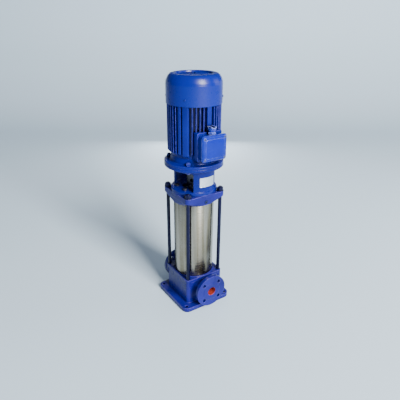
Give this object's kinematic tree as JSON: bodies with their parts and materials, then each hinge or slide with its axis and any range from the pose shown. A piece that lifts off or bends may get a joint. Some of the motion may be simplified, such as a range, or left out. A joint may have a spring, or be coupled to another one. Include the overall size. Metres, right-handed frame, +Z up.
{
  "type": "vertical multistage in-line pump",
  "caption": "Vertical in-line multistage water pump with a square foot, opposed pipe flanges, steel sleeve held by tie rods, and a ribbed flange motor on an open stool.",
  "frame": {"origin": "centre of the foot's bottom face, on the shaft axis", "axes": "+Z up along the shaft, +X along the pipe line towards the outlet flange and the terminal box, +Y to the left of it; the stool's windows face +Y and -Y"},
  "size_m": [0.304, 0.25, 1.027],
  "materials": {
    "casing_paint": "glossy blue paint over cast iron",
    "rod_paint": "glossy blue paint over steel",
    "stool_paint": "glossy blue paint over cast iron",
    "motor_paint": "glossy blue paint over cast iron",
    "cowl_paint": "glossy blue paint over pressed sheet",
    "box_paint": "glossy blue paint",
    "sleeve_steel": "polished stainless",
    "stage_steel": "pressed stainless",
    "shaft_steel": "ground",
    "bolt_steel": "zinc plated",
    "dark_plug": "dark paint",
    "cover_iron": "machined",
    "coupling_iron": "dark oiled",
    "gasket_rubber": "matt",
    "bush_bronze": "bored",
    "seal_ceramic": "lapped",
    "seal_carbon": "lapped",
    "plate_aluminium": "satin",
    "core_steel": "laminated",
    "winding_copper": "varnished copper",
    "bearing_steel": "ground",
    "fan_plastic": "moulded",
    "board_plastic": "moulded",
    "stud_brass": "turned"
  },
  "bodies": {
    "pump_body": {"base_casing": "casing_paint", "bearing_outers": "bearing_steel", "cable_gland": "box_paint", "cowl_screws": "cowl_paint", "drain_plug": "casing_paint", "end_shield_bolts": "bolt_steel", "fan_cowl": "cowl_paint", "flange_bolts": "motor_paint", "flange_nuts": "motor_paint", "gland_clamp": "box_paint", "gland_screws": "bolt_steel", "inlet_bowl": "stage_steel", "lid_gasket": "gasket_rubber", "lid_screws": "bolt_steel", "lower_bush": "bush_bronze", "motor_flange": "motor_paint", "motor_frame": "motor_paint", "motor_stool": "stool_paint", "nameplate": "plate_aluminium", "nameplate_rivets": "plate_aluminium", "outer_sleeve": "sleeve_steel", "seal_cover": "cover_iron", "seal_cover_screws": "bolt_steel", "seal_seat": "seal_ceramic", "sleeve_gaskets": "gasket_rubber", "stage_bowl_1": "stage_steel", "stage_bowl_2": "stage_steel", "stage_bowl_3": "stage_steel", "stage_bowl_4": "stage_steel", "stage_bowl_5": "stage_steel", "stator_core": "core_steel", "stator_windings": "winding_copper", "stool_bolts": "bolt_steel", "terminal_board": "board_plastic", "terminal_box": "box_paint", "terminal_lid": "box_paint", "terminal_studs": "stud_brass", "tie_rod_nuts": "rod_paint", "tie_rod_washers": "rod_paint", "tie_rods": "rod_paint", "upper_end_shield": "motor_paint", "upper_head": "casing_paint", "vent_plug": "dark_plug"},
    "rotor": {"bearing_inners": "bearing_steel", "cooling_fan": "fan_plastic", "coupling_bolts": "bolt_steel", "coupling_front": "coupling_iron", "coupling_key": "shaft_steel", "coupling_rear": "coupling_iron", "impeller_1": "stage_steel", "impeller_2": "stage_steel", "impeller_3": "stage_steel", "impeller_4": "stage_steel", "impeller_5": "stage_steel", "impeller_nut": "shaft_steel", "motor_shaft": "shaft_steel", "pump_shaft": "shaft_steel", "rotor_core": "core_steel", "seal_ring": "seal_carbon", "shaft_spacers": "shaft_steel"}
  },
  "joints": [
    {"name": "shaft_spin", "type": "hinge", "parent": "pump_body", "child": "rotor", "pos_m": [0, 0, 0.6], "axis": [0, 0, 1], "continuous": true}
  ]
}
